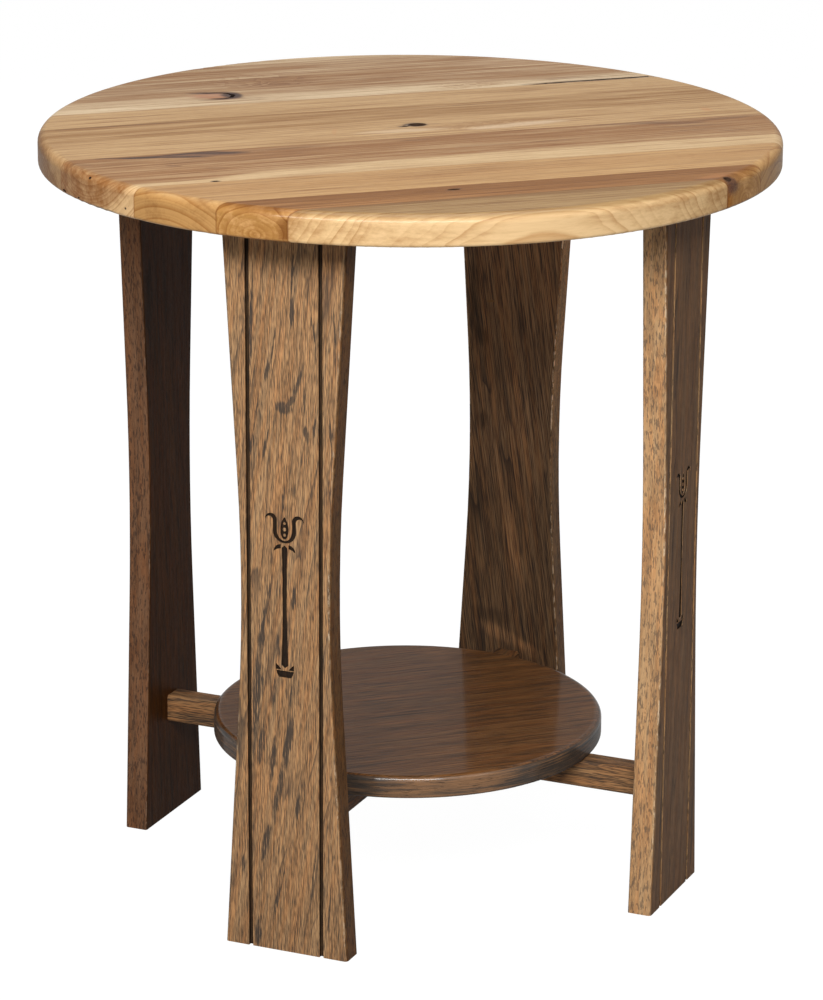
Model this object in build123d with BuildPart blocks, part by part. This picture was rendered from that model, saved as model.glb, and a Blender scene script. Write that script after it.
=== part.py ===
from build123d import *
import math
import os

# A round hickory side table on four shaped legs.  The legs stand on the X and Y axes, each
# with its broad face outwards.  Two half-lapped cross rails hold them together under the
# top, and two more near the floor carry a round shelf.
# Millimetres, +Z up, origin on the floor under the centre of the top.

os.makedirs("parts", exist_ok=True)

# ---- overall sizes -------------------------------------------------------------------
table_height = 635.0
top_diameter = 609.6
top_thickness = 25.4
top_upper_round = 8.0
top_lower_round = 3.0
top_overhang = 60.0            # from the rim of the top in to the outer face of a leg

shelf_diameter = 331.0
shelf_thickness = 19.0
shelf_height = 129.5           # floor to the upper face of the shelf
shelf_upper_round = 5.0
shelf_lower_round = 2.0

# ---- glued-up boards of the top and the shelf -----------------------------------------
grain_angle = 42.0             # the boards run this many degrees round from +X towards +Y
front_board_width = 58.5       # widths across the top, from the front edge to the back one
second_board_width = 40.0
third_board_width = 67.2
fourth_board_width = 105.4
fifth_board_width = 163.7      # the sixth board is as wide as what is left
shelf_edge_board_width = 90.0  # the two outer boards of the shelf; the middle one fills in

# ---- legs -----------------------------------------------------------------------------
leg_thickness = 20.6
leg_end_width = 109.0          # at the floor and under the top
leg_waist_width = 79.0         # at half height
leg_waist_radius = 1640.0      # the curve that joins the two straight tapers
leg_outer_round = 3.0
leg_inner_round = 2.0
groove_spacing = 63.2          # centre to centre of the two grooves in the outer face
groove_width = 3.6
groove_depth = 3.0

# ---- cross rails ----------------------------------------------------------------------
rail_width = 22.0
rail_height = 24.0
rail_edge_round = 3.0
tenon_length = 12.0
tenon_side_shoulder = 4.0      # left and right of the tenon
tenon_edge_shoulder = 4.5      # above and below the tenon
mortise_clearance = 0.15
mortise_end_gap = 0.6
lap_clearance = 0.1            # beside the crossing rail, on each side

# ---- wood screws ----------------------------------------------------------------------
screw_head_diameter = 8.4
screw_shank_diameter = 4.2
screw_head_angle = 82.0
screw_point_length = 4.0
screw_drive_width = 2.8        # square drive
screw_drive_depth = 2.4
screw_hole_clearance = 0.05
screw_hole_run_out = 1.0       # how much deeper than the point a pilot hole goes
shelf_screw_bite = 11.0        # how far a screw goes into the shelf
top_screw_bite = 15.0          # how far a screw goes into the top
shelf_screw_offset = 85.0      # from the centre, along each rail
inner_top_screw_offset = 70.0
outer_top_screw_offset = 165.0

# ---- carved tulip on the outer face of each leg -----------------------------------------
tulip_depth = 1.5
curl_drop = 6.4                # from the crest of a petal down to its tip
petal_tip_reach = 16.8         # from the centre line out to the tip of a petal
petal_crest_reach = 12.3       # and out to the crest of its curl
petal_width = 3.3
curl_width = 2.8               # a little slimmer where the petal curls over
cup_reach = 10.0               # from the centre line to the outside of the cup
cup_turn_drop = 14.6           # from the crest down to where the cup starts to round in
cup_drop = 23.8                # from the crest down to the underside of the cup
cup_bottom_width = 1.9
bud_point_drop = 1.9
bud_widest_drop = 12.5
bud_bottom_drop = 20.6
bud_width = 7.2
seed_drops = (7.4, 12.4, 17.1)     # three seeds are left standing in the bud
seed_radii = (1.1, 1.5, 1.2)
sepal_drop = 25.0
sepal_root_reach = 3.4
sepal_tip_reach = 9.4
sepal_length = 6.0
sepal_width = 3.4              # at its root
sepal_upper_radius = 6.0
sepal_lower_radius = 12.0
stem_point_drop = 25.6
stem_shoulder = 2.2            # height of the pointed ends of the stem
stem_top_width = 4.8
stem_waist_width = 3.6
stem_bottom_width = 6.0
stem_end_drop = 128.4
foot_horn_drop = 125.2
foot_horn_radius = 16.0         # the hollow upper edge of each horn
foot_top_reach = 8.0
foot_line_drop = 130.1
foot_line_width = 0.7          # the line left standing across the foot
foot_bottom_reach = 6.2
foot_round = 1.2
tulip_height = 136.4

# ---- what follows from the sizes above --------------------------------------------------
leg_height = table_height - top_thickness
leg_face_distance = top_diameter / 2 - top_overhang
leg_inner_distance = leg_face_distance - leg_thickness
rail_reach = leg_inner_distance + tenon_length
shelf_underside = shelf_height - shelf_thickness
lower_rail_bottom = shelf_underside - rail_height
upper_rail_bottom = leg_height - rail_height
screw_hole_radius = screw_shank_diameter / 2 + screw_hole_clearance
screw_head_height = (screw_head_diameter - screw_shank_diameter) / 2 / math.tan(
    math.radians(screw_head_angle / 2)
)

grain = Vector(1, 0, 0).rotate(Axis.Z, grain_angle)
across_grain = Vector(0, 1, 0).rotate(Axis.Z, grain_angle)


def outward_plane(turn, distance):
    """The upright plane that faces away from the table's axis, with its origin on the floor."""
    outward = Vector(0, -1, 0).rotate(Axis.Z, turn)
    sideways = Vector(1, 0, 0).rotate(Axis.Z, turn)
    return Plane(origin=outward * distance, x_dir=sideways, z_dir=outward)


def rail_points(offsets):
    """The centre and the given offsets along both cross rails."""
    points = [(0, 0)]
    for offset in offsets:
        points += [(offset, 0), (-offset, 0), (0, offset), (0, -offset)]
    return points


def seam_plane(offset):
    """The glued joint between two boards, this far across the grain from the centre."""
    return Plane(origin=across_grain * offset, x_dir=grain, z_dir=across_grain)


def write_boards(blank, name, seams):
    """Cuts the round blank at its glued joints and writes the boards, front to back."""
    lows = [None] + seams
    highs = seams + [None]
    for number, (low, high) in enumerate(zip(lows, highs), start=1):
        with BuildPart() as board:
            add(blank)
            if low is not None:
                split(bisect_by=seam_plane(low), keep=Keep.TOP)
            if high is not None:
                split(bisect_by=seam_plane(high), keep=Keep.BOTTOM)
        board.part.label = f"{name}_{number}"
        export_step(board.part, f"parts/{name}_{number}.step")


# ---- wood screws ------------------------------------------------------------------------
def wood_screw(length):
    """A countersunk screw that stands point up, with its head's flat face at the origin."""
    head = screw_head_diameter / 2
    shank = screw_shank_diameter / 2
    with BuildPart() as screw:
        with BuildSketch(Plane.XZ):
            with BuildLine():
                Polyline(
                    (0, 0),
                    (head, 0),
                    (shank, screw_head_height),
                    (shank, length - screw_point_length),
                    (0, length),
                    close=True,
                )
            make_face()
        revolve(axis=Axis.Z)
        with BuildSketch(Plane.XY):
            Rectangle(screw_drive_width, screw_drive_width)
        extrude(amount=screw_drive_depth, mode=Mode.SUBTRACT)
    return screw.part


shelf_screw_points = rail_points([shelf_screw_offset])
top_screw_points = rail_points([inner_top_screw_offset, outer_top_screw_offset])

with BuildPart() as shelf_screws:
    shelf_screw = wood_screw(rail_height + shelf_screw_bite)
    with Locations(*[(x, y, lower_rail_bottom) for x, y in shelf_screw_points]):
        add(shelf_screw)
shelf_screws.part.label = "shelf_screws"
export_step(shelf_screws.part, "parts/shelf_screws.step")

with BuildPart() as top_screws:
    top_screw = wood_screw(rail_height + top_screw_bite)
    with Locations(*[(x, y, upper_rail_bottom) for x, y in top_screw_points]):
        add(top_screw)
top_screws.part.label = "top_screws"
export_step(top_screws.part, "parts/top_screws.step")


# ---- top and shelf ------------------------------------------------------------------------
def round_blank(radius, underside, thickness, upper_round, lower_round, points, bite):
    """A glued-up round, with its rim rounded over and blind pilot holes in its underside."""
    with BuildPart() as blank:
        with BuildSketch(Plane.XZ) as section:
            with Locations((radius / 2, underside + thickness / 2)):
                Rectangle(radius, thickness)
            rim = section.vertices().group_by(Axis.X)[-1].sort_by(Axis.Y)
            fillet(rim[-1], upper_round)
            rim = section.vertices().group_by(Axis.X)[-1].sort_by(Axis.Y)
            fillet(rim[0], lower_round)
        revolve(axis=Axis.Z)
        with BuildSketch(Plane.XY.offset(underside)):
            with Locations(*points):
                Circle(screw_hole_radius)
        extrude(amount=bite + screw_hole_run_out, mode=Mode.SUBTRACT)
    return blank.part


top_blank = round_blank(
    top_diameter / 2,
    leg_height,
    top_thickness,
    top_upper_round,
    top_lower_round,
    top_screw_points,
    top_screw_bite,
)
top_seams = []
seam = -top_diameter / 2
for width in (
    front_board_width,
    second_board_width,
    third_board_width,
    fourth_board_width,
    fifth_board_width,
):
    seam += width
    top_seams.append(seam)
write_boards(top_blank, "top_board", top_seams)

shelf_blank = round_blank(
    shelf_diameter / 2,
    shelf_underside,
    shelf_thickness,
    shelf_upper_round,
    shelf_lower_round,
    shelf_screw_points,
    shelf_screw_bite,
)
shelf_seam = shelf_diameter / 2 - shelf_edge_board_width
write_boards(shelf_blank, "shelf_board", [-shelf_seam, shelf_seam])

# ---- the carved tulip, drawn upright with the crest of its petals at the origin -------------
with BuildSketch(Plane.XY) as half_tulip:
    # one petal: up from the middle of the cup, out over the curl and down to the tip
    inner_reach = cup_reach - petal_width
    inner_bottom = cup_bottom_width - cup_drop
    petal_tip = (petal_tip_reach, -curl_drop)
    inner_turn = (inner_reach, cup_bottom_width - cup_turn_drop)
    outer_turn = (cup_reach, -cup_turn_drop)
    inner_neck = (inner_reach, -curl_drop + cup_bottom_width)
    outer_neck = (cup_reach, -curl_drop)
    with BuildLine():
        EllipticalCenterArc(
            (0, inner_turn[1]),
            inner_reach,
            inner_turn[1] - inner_bottom,
            start_angle=270,
            arc_size=90,
        )
        Line(inner_turn, inner_neck)
        ThreePointArc(inner_neck, (petal_crest_reach, 0), petal_tip)
        ThreePointArc(petal_tip, (petal_crest_reach, -curl_width), outer_neck)
        Line(outer_neck, outer_turn)
        EllipticalCenterArc(
            (0, -cup_turn_drop),
            cup_reach,
            cup_drop - cup_turn_drop,
            start_angle=270,
            arc_size=90,
        )
        Line((0, -cup_drop), (0, inner_bottom))
    make_face()

    # half of the bud, pointed above and round below
    bud_reach = bud_width / 2
    with BuildLine():
        Line((0, -bud_bottom_drop), (0, -bud_point_drop))
        TangentArc(
            (bud_reach, -bud_widest_drop),
            (0, -bud_point_drop),
            tangent=(0, 1),
            tangent_from_first=True,
        )
        EllipticalCenterArc(
            (0, -bud_widest_drop),
            bud_reach,
            bud_bottom_drop - bud_widest_drop,
            start_angle=270,
            arc_size=90,
        )
    make_face()
    for drop, radius in zip(seed_drops, seed_radii):
        with Locations((0, -drop)):
            Circle(radius, mode=Mode.SUBTRACT)

    # one sepal, a small leaf that hangs outwards
    sepal_root = (sepal_root_reach, -sepal_drop)
    sepal_tip = (sepal_tip_reach, -sepal_drop - sepal_length)
    sepal_under = (sepal_root_reach, -sepal_drop - sepal_width)
    with BuildLine():
        RadiusArc(sepal_root, sepal_tip, sepal_upper_radius)
        RadiusArc(sepal_tip, sepal_under, -sepal_lower_radius)
        Line(sepal_under, sepal_root)
    make_face()

    # half of the stem, pointed at both ends and slim in the middle
    stem_top = (stem_top_width / 2, -stem_point_drop - stem_shoulder)
    stem_bottom = (stem_bottom_width / 2, -stem_end_drop + stem_shoulder)
    stem_waist = (stem_waist_width / 2, (stem_top[1] + stem_bottom[1]) / 2)
    with BuildLine():
        Polyline((0, -stem_end_drop), (0, -stem_point_drop), stem_top)
        ThreePointArc(stem_top, stem_waist, stem_bottom)
        Line(stem_bottom, (0, -stem_end_drop))
    make_face()

    # half of the foot: a horn above the line that is left standing, a block below it
    horn_root = (stem_bottom_width / 2, -foot_line_drop)
    horn_tip = (foot_top_reach, -foot_horn_drop)
    with BuildLine():
        Line(horn_root, (foot_top_reach, -foot_line_drop))
        Line((foot_top_reach, -foot_line_drop), horn_tip)
        RadiusArc(horn_tip, horn_root, -foot_horn_radius)
    make_face()
    block_top = -foot_line_drop - foot_line_width
    with BuildLine():
        Polyline(
            (0, block_top),
            (foot_top_reach, block_top),
            (foot_bottom_reach, -tulip_height + foot_round),
        )
        Line(
            (foot_bottom_reach, -tulip_height + foot_round),
            (foot_bottom_reach - foot_round, -tulip_height),
        )
        Polyline((foot_bottom_reach - foot_round, -tulip_height), (0, -tulip_height), (0, block_top))
    make_face()

with BuildSketch(Plane.XY) as tulip:
    add(half_tulip.sketch)
    mirror(half_tulip.sketch, about=Plane.YZ)

# ---- legs -------------------------------------------------------------------------------
# The waist curve bulges in from each side; the straight tapers run from the ends of the leg
# to where they touch it.
middle = leg_height / 2
curve_centre_reach = leg_waist_width / 2 + leg_waist_radius
end_to_centre_across = curve_centre_reach - leg_end_width / 2
end_to_centre = math.hypot(end_to_centre_across, middle)
end_angle = math.atan2(middle, end_to_centre_across)
touch_angle = end_angle - math.acos(leg_waist_radius / end_to_centre)
touch_reach = curve_centre_reach - leg_waist_radius * math.cos(touch_angle)
touch_rise = leg_waist_radius * math.sin(touch_angle)



def long_side_edges(leg):
    """The edges that run up the sides of a leg, without those across its two ends."""
    long_edges = leg.edges().filter_by(lambda edge: edge.length > 2 * leg_thickness)
    return long_edges.filter_by(
        lambda edge: edge.bounding_box().size.Z > leg_thickness
    )


for name, turn in (("leg_front", 0), ("leg_right", 90), ("leg_back", 180), ("leg_left", 270)):
    outer_face = outward_plane(turn, leg_face_distance)
    inner_face = outward_plane(turn, leg_inner_distance)
    with BuildPart() as leg:
        with BuildSketch(outer_face):
            with BuildLine():
                for side in (1, -1):
                    foot_corner = (side * leg_end_width / 2, 0)
                    head_corner = (side * leg_end_width / 2, leg_height)
                    low_touch = (side * touch_reach, middle - touch_rise)
                    high_touch = (side * touch_reach, middle + touch_rise)
                    Line(foot_corner, low_touch)
                    ThreePointArc(low_touch, (side * leg_waist_width / 2, middle), high_touch)
                    Line(high_touch, head_corner)
                Line((-leg_end_width / 2, 0), (leg_end_width / 2, 0))
                Line((-leg_end_width / 2, leg_height), (leg_end_width / 2, leg_height))
            make_face()
        extrude(amount=-leg_thickness)

        # the long edges are rounded, the outer ones more than the inner ones
        outwards = Axis(origin=(0, 0, 0), direction=outer_face.z_dir)
        fillet(long_side_edges(leg).group_by(outwards)[-1], leg_outer_round)
        fillet(long_side_edges(leg).group_by(outwards)[0], leg_inner_round)

        # two grooves run the full height of the outer face
        with BuildSketch(outer_face):
            with Locations((-groove_spacing / 2, middle), (groove_spacing / 2, middle)):
                Rectangle(groove_width, leg_height)
        extrude(amount=-groove_depth, mode=Mode.SUBTRACT)

        # the tulip is carved at half height
        with BuildSketch(outer_face):
            with Locations((0, middle + tulip_height / 2)):
                add(tulip.sketch)
        extrude(amount=-tulip_depth, mode=Mode.SUBTRACT)

        # blind mortises for the two cross rails that reach this leg
        with BuildSketch(inner_face):
            with Locations(
                (0, lower_rail_bottom + rail_height / 2),
                (0, upper_rail_bottom + rail_height / 2),
            ):
                Rectangle(
                    rail_width - 2 * tenon_side_shoulder + 2 * mortise_clearance,
                    rail_height - 2 * tenon_edge_shoulder + 2 * mortise_clearance,
                )
        extrude(amount=tenon_length + mortise_end_gap, mode=Mode.SUBTRACT)
    leg.part.label = name
    export_step(leg.part, f"parts/{name}.step")

# ---- cross rails ------------------------------------------------------------------------
# The rails along X are notched above and the rails along Y below, to half their height.
for level, bottom, screw_points in (
    ("lower", lower_rail_bottom, shelf_screw_points),
    ("upper", upper_rail_bottom, top_screw_points),
):
    for run, turn, notch_side in (("x", 90, 1), ("y", 0, -1)):
        centre_height = bottom + rail_height / 2
        end_plane = outward_plane(turn, 0)
        with BuildPart() as rail:
            with BuildSketch(end_plane):
                with Locations((0, centre_height)):
                    Rectangle(rail_width, rail_height)
            extrude(amount=leg_inner_distance, both=True)
            run_edges = rail.edges().filter_by(Axis(origin=(0, 0, 0), direction=end_plane.z_dir))
            fillet(run_edges, rail_edge_round)

            # tenons at both ends
            with BuildSketch(end_plane):
                with Locations((0, centre_height)):
                    Rectangle(
                        rail_width - 2 * tenon_side_shoulder,
                        rail_height - 2 * tenon_edge_shoulder,
                    )
            extrude(amount=rail_reach, both=True)

            # the half-lap at the crossing
            lap_width = rail_width + 2 * lap_clearance
            with Locations((0, 0, centre_height + notch_side * rail_height / 4)):
                Box(lap_width, lap_width, rail_height / 2, mode=Mode.SUBTRACT)

            # screws go in from below, with their heads flush
            along = end_plane.z_dir
            for x, y in screw_points:
                if abs(Vector(x, y, 0).cross(along).length) > rail_width:
                    continue
                with Locations(Plane(origin=(x, y, bottom), z_dir=(0, 0, -1))):
                    CounterSinkHole(
                        radius=screw_hole_radius,
                        counter_sink_radius=screw_head_diameter / 2,
                        depth=rail_height,
                        counter_sink_angle=screw_head_angle,
                    )
        rail.part.label = f"{level}_rail_{run}"
        export_step(rail.part, f"parts/{level}_rail_{run}.step")
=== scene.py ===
import math

import bmesh
import bpy
from mathutils import Matrix, Vector, noise


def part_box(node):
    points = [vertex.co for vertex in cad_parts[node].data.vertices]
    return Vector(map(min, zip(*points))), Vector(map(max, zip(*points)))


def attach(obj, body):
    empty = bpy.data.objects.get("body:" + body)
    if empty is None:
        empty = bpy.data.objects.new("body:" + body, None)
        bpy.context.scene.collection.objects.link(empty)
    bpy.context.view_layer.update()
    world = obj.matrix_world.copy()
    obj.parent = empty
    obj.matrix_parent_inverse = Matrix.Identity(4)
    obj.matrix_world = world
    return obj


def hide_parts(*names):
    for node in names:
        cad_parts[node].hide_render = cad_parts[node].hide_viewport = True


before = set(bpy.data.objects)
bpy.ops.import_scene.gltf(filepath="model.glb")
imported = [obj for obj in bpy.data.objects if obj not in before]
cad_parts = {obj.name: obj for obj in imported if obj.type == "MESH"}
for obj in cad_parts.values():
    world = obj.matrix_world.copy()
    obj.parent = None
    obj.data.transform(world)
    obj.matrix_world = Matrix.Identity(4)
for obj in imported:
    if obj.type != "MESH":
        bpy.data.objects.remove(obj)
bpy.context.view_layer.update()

# A round table of natural hickory on dark-stained hickory legs, with a small round shelf.
# The solids of the frame are kept, or copied and opened up where the wood has a knot hole,
# a pit or a crack.  The wood itself is a solid pattern of growth rings, so that faces, edges
# and end grain agree.  Lengths in the wood are in millimetres, those of the studio in metres.

MM = 0.001


def radius_of(pieces):
    """How far the boards of a round reach from its middle."""
    return max(
        abs(value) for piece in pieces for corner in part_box(piece) for value in corner[:2]
    ) / MM


# ---- where things are, read from the frame ------------------------------------------------
TOP_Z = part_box("top_board_5")[1].z / MM
TOP_RADIUS = radius_of(f"top_board_{number}" for number in range(1, 7))
SHELF_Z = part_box("shelf_board_2")[1].z / MM
SHELF_RADIUS = radius_of(f"shelf_board_{number}" for number in range(1, 4))
LEG_FACE = -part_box("leg_front")[0].y / MM
RAIL_Z = {
    level: sum(corner.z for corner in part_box(f"{level}_rail_x")) / 2 / MM
    for level in ("lower", "upper")
}

GRAIN_ANGLE = 42.0           # the boards of the top and the shelf run this way, from +X

# ---- camera and light ---------------------------------------------------------------------
CAMERA_AZIMUTH = 23.59       # degrees from -Y towards +X
CAMERA_ELEVATION = 17.53
CAMERA_ROLL = 0.27
CAMERA_DISTANCE = 3.670
CAMERA_TARGET = Vector((0, 0, 0.3048))
CAMERA_LENS = 156.85
CAMERA_SENSOR = 36.0
CAMERA_SHIFT = (0.0029, 0.0120)

LIGHT_AIM = (0, 0, 0.4)
TOP_AIM = (0, 0, 0.6)        # of the softbox over the top


def make_camera():
    data = bpy.data.cameras.new("camera")
    data.lens = CAMERA_LENS
    data.sensor_fit = "VERTICAL"
    data.sensor_height = CAMERA_SENSOR
    data.sensor_width = CAMERA_SENSOR
    data.shift_x, data.shift_y = CAMERA_SHIFT
    data.clip_end = 100
    camera = bpy.data.objects.new("camera", data)
    bpy.context.scene.collection.objects.link(camera)
    azimuth = math.radians(CAMERA_AZIMUTH)
    elevation = math.radians(CAMERA_ELEVATION)
    back = Vector((
        math.sin(azimuth) * math.cos(elevation),
        -math.cos(azimuth) * math.cos(elevation),
        math.sin(elevation),
    ))
    right = (-back).cross(Vector((0, 0, 1))).normalized()
    up = right.cross(-back)
    turned = Matrix((right, up, back)).transposed().to_4x4()
    roll = Matrix.Rotation(math.radians(CAMERA_ROLL), 4, "Z")
    camera.matrix_world = Matrix.Translation(CAMERA_TARGET + back * CAMERA_DISTANCE) @ turned @ roll
    bpy.context.scene.camera = camera


def make_softbox(name, position, aim, size, watts):
    data = bpy.data.lights.new(name, "AREA")
    data.shape = "RECTANGLE"
    data.size, data.size_y = size
    data.energy = watts
    lamp = bpy.data.objects.new(name, data)
    lamp.location = position
    direction = Vector(aim) - Vector(position)
    lamp.rotation_euler = direction.to_track_quat("-Z", "Y").to_euler()
    lamp.visible_camera = False
    bpy.context.scene.collection.objects.link(lamp)
    return lamp


def around(azimuth, elevation, distance):
    """A point at an azimuth from -Y towards +X, seen from where the lights aim."""
    turn, rise = math.radians(azimuth), math.radians(elevation)
    level = distance * math.cos(rise)
    return Vector(LIGHT_AIM) + Vector((
        level * math.sin(turn), -level * math.cos(turn), distance * math.sin(rise)
    ))


def make_lights():
    make_softbox("key_softbox", around(14, 33, 2.4), LIGHT_AIM, (2.4, 0.5), 58.5)
    make_softbox("top_softbox", (0.1, 0.2, 2.9), TOP_AIM, (1.8, 1.8), 38.0)
    make_softbox("low_softbox", around(18, 6, 3.0), LIGHT_AIM, (1.8, 0.8), 5.0)
    make_softbox("long_softbox", around(52, 36, 2.4), LIGHT_AIM, (2.0, 0.35), 8.0)
    # fills the far sides of the table, without a reflection in the top
    back = make_softbox("back_softbox", around(200, 12, 3.0), LIGHT_AIM, (2.0, 0.9), 16.0)
    back.visible_glossy = False


# ---- a short way of writing shader nodes ---------------------------------------------------
class Graph:
    """The nodes of one material, written as expressions."""

    def __init__(self, name):
        self.material = bpy.data.materials.new(name)
        self.material.use_nodes = True
        self.tree = self.material.node_tree
        self.shader = self.tree.nodes["Principled BSDF"]

    def node(self, kind, inputs=(), **settings):
        node = self.tree.nodes.new("ShaderNode" + kind)
        for key, value in settings.items():
            setattr(node, key, value)
        for key, value in dict(inputs).items():
            self.feed(node.inputs[key], value)
        return node

    def feed(self, socket, value):
        if isinstance(value, bpy.types.NodeSocket):
            self.tree.links.new(value, socket)
        else:
            socket.default_value = value

    def math(self, operation, a, b=0.0, c=0.0):
        return self.node("Math", {0: a, 1: b, 2: c}, operation=operation).outputs[0]

    def add(self, a, b):
        return self.math("ADD", a, b)

    def sub(self, a, b):
        return self.math("SUBTRACT", a, b)

    def mul(self, a, b):
        return self.math("MULTIPLY", a, b)

    def sum_of_squares(self, *values):
        total = self.mul(values[0], values[0])
        for value in values[1:]:
            total = self.math("MULTIPLY_ADD", value, value, total)
        return total

    def root(self, value):
        return self.math("SQRT", self.math("MAXIMUM", value, 0.0))

    def step(self, value, low, high, bottom=0.0, top=1.0):
        """Smoothly from bottom at low to top at high."""
        if low > high:
            low, high, bottom, top = high, low, top, bottom
        node = self.node(
            "MapRange",
            {"Value": value, "From Min": low, "From Max": high, "To Min": bottom, "To Max": top},
            interpolation_type="SMOOTHSTEP",
        )
        return node.outputs[0]

    def ramp(self, value, low, high, stops):
        """A grey ramp through (place, level) stops, for places from low to high."""
        node = self.node("ValToRGB", {0: self.mul(self.sub(value, low), 1 / (high - low))})
        elements = node.color_ramp.elements
        while len(elements) < len(stops):
            elements.new(1.0)
        for element, (place, level) in zip(elements, sorted(stops)):
            element.position = (place - low) / (high - low)
            element.color = (level, level, level, 1)
        return node.outputs[0]

    def vector(self, x, y, z):
        return self.node("CombineXYZ", {0: x, 1: y, 2: z}).outputs[0]

    def noise(self, place, detail=2.0, roughness=0.5):
        inputs = {"Vector": place, "Scale": 1.0, "Detail": detail, "Roughness": roughness}
        return self.node("TexNoise", inputs).outputs[0]

    def noise_along(self, place, detail=2.0):
        inputs = {"W": place, "Scale": 1.0, "Detail": detail}
        return self.node("TexNoise", inputs, noise_dimensions="1D").outputs[0]

    def mix(self, factor, a, b, blend="MIX"):
        node = self.node("Mix", data_type="RGBA", blend_type=blend)
        self.feed(node.inputs[0], factor)
        for index, value in ((6, a), (7, b)):
            if isinstance(value, tuple):
                value = (*value, 1.0)
            self.feed(node.inputs[index], value)
        return node.outputs[2]

    def turned(self, vector, degrees):
        """x, y and z of a vector, turned back about Z by an angle."""
        node = self.node("VectorRotate", {"Vector": vector, "Angle": -math.radians(degrees)},
                         rotation_type="Z_AXIS")
        return self.node("SeparateXYZ", {0: node.outputs[0]}).outputs

    def place(self, degrees):
        """The place of a point in millimetres, turned back about Z."""
        point = self.node("TexCoord").outputs["Object"]
        scaled = self.node("VectorMath", {0: point, 3: 1 / MM}, operation="SCALE").outputs[0]
        return self.turned(scaled, degrees)

    def facing(self, degrees):
        """The surface's own direction, turned back about Z."""
        return self.turned(self.node("TexCoord").outputs["Normal"], degrees)

    def finish(self, colour, roughness, height, relief, **uniform):
        self.feed(self.shader.inputs["Base Color"], colour)
        self.feed(self.shader.inputs["Roughness"], roughness)
        node = self.node("Bump", {"Height": height, "Strength": 1.0, "Distance": relief * MM})
        self.feed(self.shader.inputs["Normal"], node.outputs[0])
        for name, value in uniform.items():
            self.shader.inputs[name.replace("_", " ")].default_value = value
        return self.material


# ---- how hickory grows ---------------------------------------------------------------------
CURLS = 8.0                  # curling rings from the lowest to the highest place of a figure


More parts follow.
